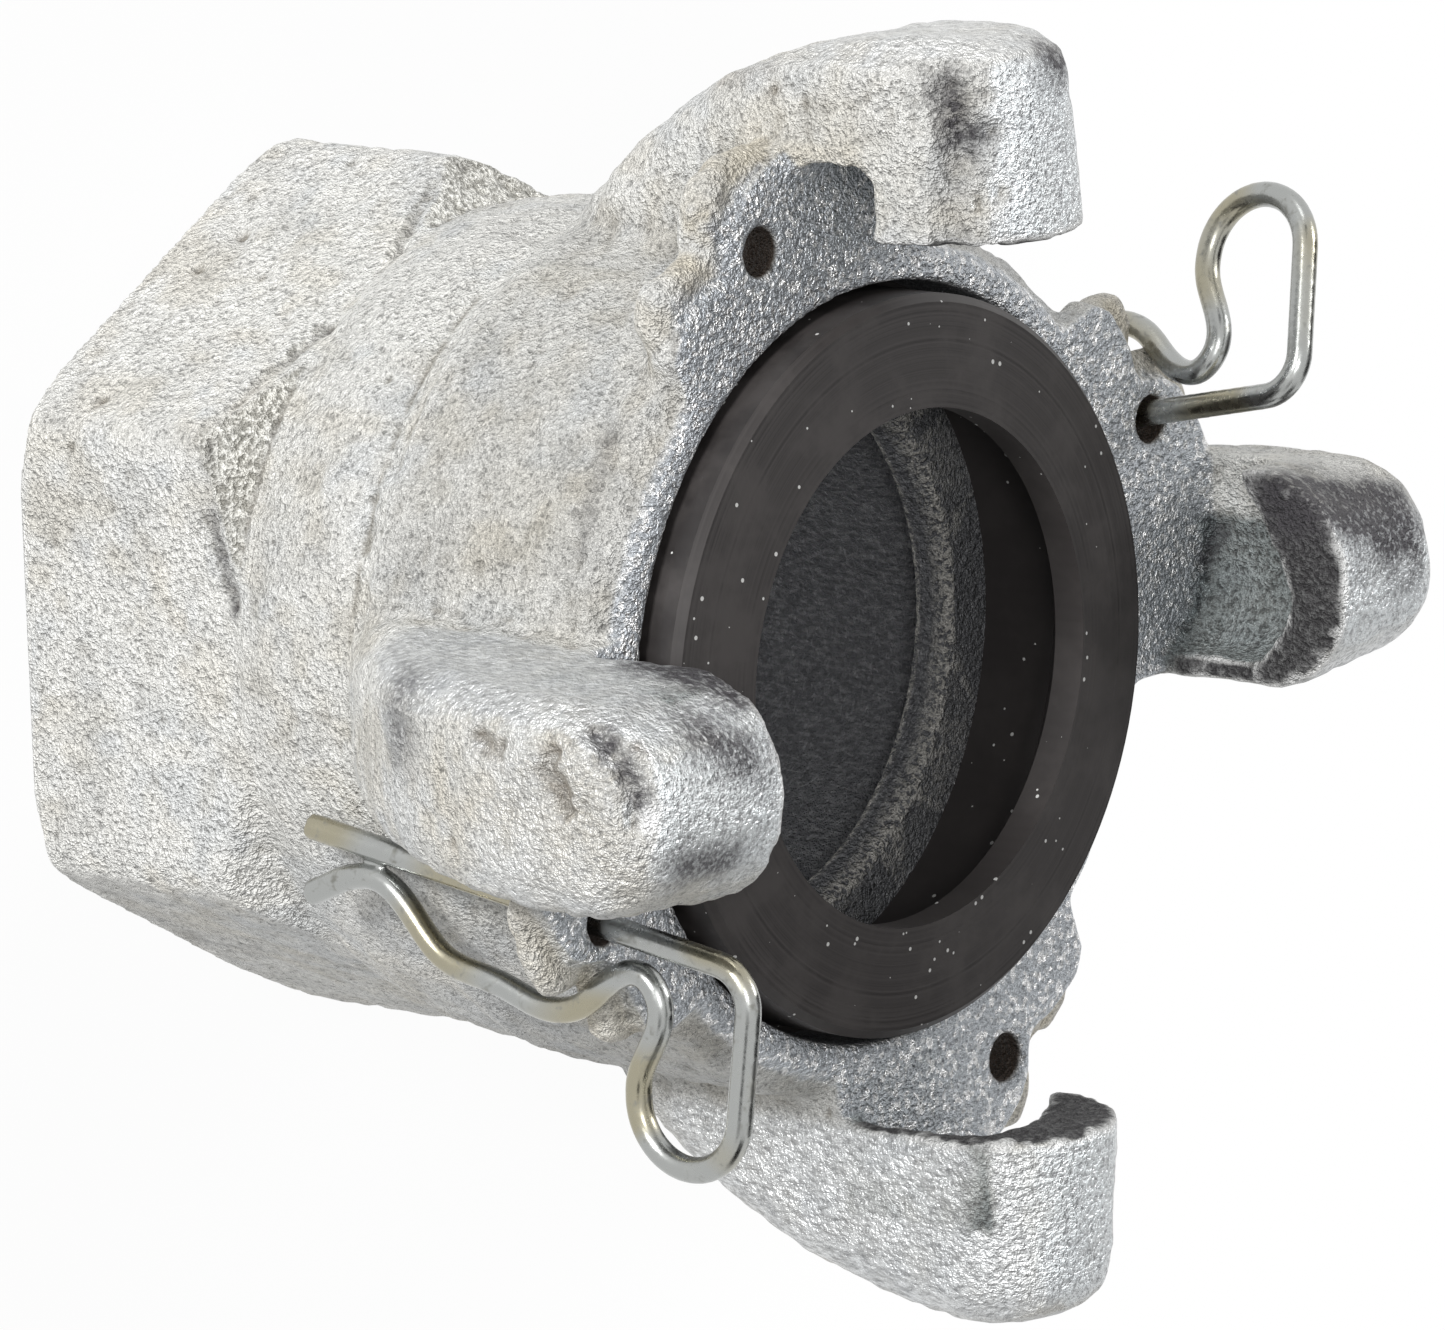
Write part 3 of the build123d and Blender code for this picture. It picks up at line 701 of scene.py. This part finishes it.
class Nodes:
    """Short calls for building one material's nodes."""

    def __init__(self, name):
        self.material = bpy.data.materials.new(name)
        self.material.use_nodes = True
        self.tree = self.material.node_tree
        self.shader = self.tree.nodes["Principled BSDF"]
        place = self.node("ShaderNodeTexCoord").outputs["Object"]
        self.place = self.vector("SCALE", place, Scale=1 / MM)

    def put(self, socket, value):
        """Links a socket, or sets its value."""
        if isinstance(value, bpy.types.NodeSocket):
            self.tree.links.new(value, socket)
        elif value is not None:
            socket.default_value = (*value, 1.0) if socket.type == "RGBA" and len(value) == 3 else value

    def node(self, kind, *values, **named):
        """A new node: values fill its sockets in order, and names set a socket or else a property."""
        node = self.tree.nodes.new(kind)
        sockets = {name: value for name, value in named.items() if name[0].isupper()}
        for name, value in named.items():
            if name not in sockets:
                setattr(node, name, value)
        for socket, value in zip(node.inputs, values):
            self.put(socket, value)
        for name, value in sockets.items():
            self.put(node.inputs[name], value)
        return node

    def noise(self, cell, detail=2.0, rough=0.5, distortion=0.0, vector=None, output="Fac"):
        node = self.node("ShaderNodeTexNoise", Vector=vector or self.place, Scale=1 / cell, Detail=detail,
                         Roughness=rough, Distortion=distortion)
        return node.outputs[output]

    def cells(self, cell, output):
        return self.node("ShaderNodeTexVoronoi", Vector=self.place, Scale=1 / cell).outputs[output]

    def split(self, colour):
        return tuple(self.node("ShaderNodeSeparateColor", Color=colour).outputs)

    def vector(self, operation, vector, output="Vector", **sockets):
        return self.node("ShaderNodeVectorMath", vector, operation=operation, **sockets).outputs[output]

    def math(self, operation, a, b):
        return self.node("ShaderNodeMath", a, b, operation=operation).outputs[0]

    def ramp(self, value, low, high, out_low=0.0, out_high=1.0):
        return self.node("ShaderNodeMapRange", value, low, high, out_low, out_high,
                         interpolation_type="SMOOTHSTEP").outputs[0]

    def mix(self, factor, a, b):
        node = self.node("ShaderNodeMix", data_type="RGBA")
        for socket, value in ((0, factor), (6, a), (7, b)):
            self.put(node.inputs[socket], value)
        return node.outputs[2]

    def blend(self, factor, a, b):
        return self.node("ShaderNodeMix", factor, None, a, b, data_type="FLOAT").outputs[0]

    def attribute(self, name):
        return self.node("ShaderNodeAttribute", attribute_name=name).outputs["Fac"]

    def bump(self, height, distance, strength=1.0):
        return self.node("ShaderNodeBump", Strength=strength, Distance=distance * MM, Height=height).outputs[0]

    def finish(self, **sockets):
        for name, value in sockets.items():
            self.put(self.shader.inputs[name.replace("_", " ")], value)
        return self.material


def casting_material():
    """Zinc-plated cast iron: pale granular skin, silver faces streaked with painted reflection, grey flange
    sparkling with painted glints, dark lip ends.
    """
    n = Nodes("zinc_casting")
    names = ("front", "sheen", "lip", "tip", "inside", "pocket", "hole")
    front, sheen, lip, tip, inside, pocket, hole = (n.attribute(name) for name in names)
    grain = n.noise(GRAIN_CELL, 2.0, 0.74)
    stretched = n.node("ShaderNodeVectorMath", n.place, NEEDLE_SCALE, operation="MULTIPLY").outputs[0]
    needle = n.noise(NEEDLE_CELL, 1.0, 0.6, vector=stretched)
    glint = n.split(n.cells(GLINT_CELL, "Color"))[0]

    def share(name, factor):
        return n.math("MULTIPLY", n.attribute(name), factor)

    skin = n.mix(n.attribute("warm"), PALE_SKIN, TAN_SKIN)
    skin = n.mix(n.attribute("cool"), skin, COOL_SKIN)
    # Darker in the grain's low spots: the skin's grain tone, and painted shade in the valleys of the bump
    skin = n.vector("SCALE", skin, Scale=n.ramp(grain, 0.32, 0.64, 0.80, 1.05))
    skin = n.vector("SCALE", skin, Scale=n.ramp(grain, 0.32, 0.41, 0.62, 1.0))
    skin = n.vector("SCALE", skin, Scale=n.attribute("shade"))
    # Painted shade: the hollows are darkened
    skin = n.mix(share("cavity", 0.8), skin, HOLLOW_SHADE)
    # Painted highlight: the ridges are lightened
    skin = n.mix(share("ridge", 0.5), skin, RIDGE_HIGHLIGHT)
    skin = n.mix(share("shoulder", 0.75), skin, n.mix(n.ramp(grain, 0.40, 0.60), *GRIT))
    # Painted shade along the border of each corner recess
    skin = n.mix(share("recess_edge_shade", 0.5), skin, SEAM_SHADE)

    # Painted reflection streaks in the plating's silver
    silver_and_reflection = n.mix(n.ramp(needle, 0.30, 0.66), *SILVER_AND_REFLECTION)
    # Painted highlight on the claw tips, over the plating's silver
    silver_and_reflection = n.mix(n.math("MULTIPLY", tip, n.ramp(grain, 0.38, 0.60, 0.0, 0.9)), silver_and_reflection, TIP_SILVER_AND_HIGHLIGHT)
    # Painted glints: white cells on the flange face
    flange = n.mix(n.ramp(glint, 0.50, 0.95), *FLANGE_AND_GLINTS)
    # Darker in the grain's low spots: painted shade in the valleys of the bump, as on the skin
    flange = n.vector("SCALE", flange, Scale=n.ramp(grain, 0.34, 0.50, 0.62, 1.0))
    # Painted highlight on the throat's edges
    edge = n.math("MULTIPLY", n.attribute("throat_edge"), n.ramp(grain, 0.40, 0.54))
    bore = n.mix(edge, n.mix(n.ramp(needle, 0.4, 0.7), *BORE_SHADE), THROAT_HIGHLIGHT)

    # Painted reflection on the sheen faces, and painted shade on the stop sides
    colour = n.mix(n.math("MULTIPLY", sheen, 0.85), skin, silver_and_reflection)
    colour = n.mix(front, colour, flange)
    # Painted shade inside the pockets
    colour = n.mix(n.math("MULTIPLY", pocket, 0.85), colour, n.mix(n.ramp(grain, 0.36, 0.60), *POCKET_SHADE))
    colour = n.mix(lip, colour, n.mix(n.ramp(grain, 0.40, 0.70), *LIP))
    # Painted highlight along the lip's rim
    colour = n.mix(share("rim", 0.8), colour, RIM_HIGHLIGHT)
    # Painted shade inside the bore, with the throat's painted highlights
    colour = n.mix(inside, colour, bore)
    # Tarnish patches and painted shade lines
    tarnish_and_shade = n.math("MULTIPLY", n.attribute("tarnish_and_shade"), n.ramp(needle, 0.66, 0.42, 0.72, 1.15))
    colour = n.mix(n.math("MINIMUM", tarnish_and_shade, 0.96), colour, TARNISH_AND_SHADE_BLACK)
    colour = n.mix(share("brown", 0.85), colour, RUST_BROWN)
    # Painted highlight spot on the claw front
    colour = n.mix(n.attribute("highlight_spot"), colour, HIGHLIGHT_WHITE)
    # Painted shade inside the clip holes
    colour = n.mix(hole, colour, HOLE_SHADE)

    metal = n.blend(front, n.blend(sheen, 0.25, 0.80), 0.75)
    metal = n.blend(n.math("MAXIMUM", lip, hole), metal, 0.1)
    rough = n.blend(sheen, 0.55, n.ramp(needle, 0.35, 0.6, 0.50, 0.30))
    rough = n.blend(front, rough, n.ramp(glint, 0.4, 1.0, 0.5, 0.26))
    rough = n.blend(lip, rough, 0.7)
    bump = n.bump(grain, BUMP_DEPTH, n.blend(sheen, 1.0, 0.55))
    return n.finish(Base_Color=colour, Metallic=metal, Roughness=rough, Normal=bump)


def rubber_material():
    """Black moulded rubber with faint turning rings and white dust."""
    n = Nodes("black_rubber")
    x, y, _ = n.node("ShaderNodeSeparateXYZ", n.place).outputs
    radius = n.vector("LENGTH", n.node("ShaderNodeCombineXYZ", x, y).outputs[0], "Value")
    rings = n.noise(0.35, 3.0, 0.7, vector=n.node("ShaderNodeCombineXYZ", radius).outputs[0])
    cloud, dusty, dent = n.split(n.noise(8.0, 4.0, 0.6, output="Color"))
    base = n.mix(n.ramp(rings, 0.35, 0.65), *RUBBER)
    base = n.mix(n.ramp(cloud, 0.42, 0.65), base, RUBBER_CLOUD)
    dust = n.math("LESS_THAN", n.cells(2.0, "Distance"), n.ramp(dusty, 0.40, 0.6, 0.03, 0.115))
    colour = n.mix(n.math("MULTIPLY", dust, 0.9), base, DUST)
    rough = n.ramp(rings, 0.3, 0.7, 0.42, 0.58)
    height = n.math("ADD", n.math("MULTIPLY", rings, 0.5), n.math("MULTIPLY", dent, 0.8))
    n.shader.inputs["Specular IOR Level"].default_value = 0.4
    return n.finish(Base_Color=colour, Roughness=rough, Normal=n.bump(height, 0.04, 0.5), Metallic=0.0)


def wire_material():
    """Bright zinc-plated spring wire, drawn along its length, slightly yellowed."""
    n = Nodes("zinc_wire")
    streak = n.noise(1.6, 4.0, 0.6, 0.4)
    tint = n.mix(n.ramp(n.noise(14.0, 1.0), 0.44, 0.60), WIRE_ZINC, WIRE_YELLOW)
    colour = n.mix(n.ramp(streak, 0.56, 0.74), tint, WIRE_STREAK)
    rough = n.ramp(streak, 0.3, 0.7, 0.20, 0.34)
    return n.finish(Base_Color=colour, Roughness=rough, Metallic=1.0, Normal=n.bump(n.noise(0.5, 3.0), 0.02, 0.4))


def set_material(obj, material):
    if not obj.data.materials:
        obj.data.materials.append(material)
    for slot in obj.material_slots:
        slot.material = material


# Studio

def make_camera():
    data = bpy.data.cameras.new("camera")
    data.lens = CAMERA_LENS
    data.sensor_width = CAMERA_SENSOR
    data.sensor_fit = "HORIZONTAL"
    data.clip_start, data.clip_end = 0.05, 50
    camera = add_object("camera", data)
    columns = [Vector(v).normalized() for v in (CAMERA_RIGHT, CAMERA_UP, CAMERA_BACK)]
    matrix = Matrix(columns).transposed().to_4x4()
    matrix.translation = Vector(CAMERA_PLACE)
    camera.matrix_world = matrix
    bpy.context.scene.camera = camera


def aimed(obj, place, axis):
    """Puts the object at its place with the named axis towards the aim."""
    obj.location = place
    obj.rotation_mode = "QUATERNION"
    obj.rotation_quaternion = (Vector(AIM) - Vector(place)).to_track_quat(axis, "Y")


def make_floor():
    """Pale floor: nearly white to the camera, with a faint shadow near the part, and a plain glow for the rest."""
    floor = square("floor", FLOOR_HALF)
    floor.location.z = -FLOOR_DROP
    n = Nodes("pale_floor")
    n.finish(Base_Color=FLOOR_COLOUR, Roughness=FLOOR_ROUGH)
    path = n.node("ShaderNodeLightPath").outputs
    reach = n.vector("LENGTH", n.place, "Value")
    seen = n.math("MULTIPLY", path["Is Camera Ray"], n.ramp(reach, FLOOR_NEAR, FLOOR_FAR, FLOOR_GLOW, 1.0))
    for kind in ("Is Glossy Ray", "Is Transmission Ray", "Is Diffuse Ray"):
        seen = n.math("MAXIMUM", seen, path[kind])
    strength = n.blend(path["Is Diffuse Ray"], 1.0, FLOOR_BOUNCE)
    glow = n.node("ShaderNodeEmission", Color=(1, 1, 1), Strength=strength)
    mix = n.node("ShaderNodeMixShader", seen, n.shader.outputs[0], glow.outputs[0])
    n.tree.links.new(mix.outputs[0], n.tree.nodes["Material Output"].inputs["Surface"])
    n.material.cycles.emission_sampling = "NONE"
    floor.data.materials.append(n.material)


def make_world():
    """White to the camera and in reflections; a lower level lights the object."""
    world = bpy.data.worlds.new("studio")
    bpy.context.scene.world = world
    world.use_nodes = True
    tree = world.node_tree
    background = tree.nodes["Background"]
    background.inputs["Color"].default_value = (1, 1, 1, 1)
    path = tree.nodes.new("ShaderNodeLightPath").outputs
    seen = path["Is Camera Ray"]
    for kind in ("Is Glossy Ray", "Is Transmission Ray"):
        more = tree.nodes.new("ShaderNodeMath")
        more.operation = "MAXIMUM"
        tree.links.new(seen, more.inputs[0])
        tree.links.new(path[kind], more.inputs[1])
        seen = more.outputs[0]
    level = tree.nodes.new("ShaderNodeMapRange")
    level.inputs["To Min"].default_value = WORLD_BOUNCE
    tree.links.new(seen, level.inputs["Value"])
    tree.links.new(level.outputs[0], background.inputs["Strength"])


def make_lamp(name, place, size, power):
    """A square area lamp that points at the middle of the object."""
    data = bpy.data.lights.new(name, "AREA")
    data.shape = "SQUARE"
    data.size = size
    data.energy = power
    lamp = add_object(name, data)
    lamp.visible_camera = False
    aimed(lamp, place, "-Z")


def make_card(name, place, size):
    """A dark card beside the object, seen only in reflections."""
    card = square(name, size / 2)
    material = bpy.data.materials.new(name)
    material.use_nodes = True
    nodes = material.node_tree.nodes
    nodes.remove(nodes["Principled BSDF"])
    glow = nodes.new("ShaderNodeEmission")
    glow.inputs["Color"].default_value = CARD_COLOUR
    material.node_tree.links.new(glow.outputs[0], nodes["Material Output"].inputs["Surface"])
    material.cycles.emission_sampling = "NONE"
    card.data.materials.append(material)
    aimed(card, place, "Z")
    card.visible_camera = False
    card.visible_diffuse = False
    card.visible_shadow = False


def make_studio():
    make_world()
    make_floor()
    for name, (place, size, power) in LAMPS.items():
        make_lamp(name, place, size, power)
    for name, (place, size) in CARDS.items():
        make_card(name, place, size)
    bpy.context.scene.view_settings.view_transform = "Standard"


# Clips and washer keep their solids, with softer edges

def dress_clips(material):
    """Even, softly joined wire in place of the solid's facets and mitred bends."""
    for name in ("safety_clip_1", "safety_clip_2"):
        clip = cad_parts[name]
        grid = clip.modifiers.new("voxels", "REMESH")
        grid.mode = "VOXEL"
        grid.voxel_size = CLIP_VOXEL * MM
        grid.use_smooth_shade = True
        soft = clip.modifiers.new("soft", "SMOOTH")
        soft.factor = 0.5
        soft.iterations = CLIP_ROUNDS
        set_material(clip, material)


def dress_washer(material):
    """Edges slightly rounded, as moulded rubber has them."""
    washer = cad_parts["rubber_washer"]
    round_edges = washer.modifiers.new("edges", "BEVEL")
    round_edges.width = WASHER_EDGE * MM
    round_edges.segments = 3
    round_edges.limit_method = "ANGLE"
    round_edges.angle_limit = math.radians(WASHER_EDGE_ANGLE)
    washer.data.shade_smooth()
    even = washer.modifiers.new("even", "WEIGHTED_NORMAL")
    even.keep_sharp = False
    set_material(washer, material)


make_camera()
make_studio()
zinc = casting_material()
set_material(make_casting(), zinc)
set_material(make_thread(), zinc)
dress_clips(wire_material())
dress_washer(rubber_material())
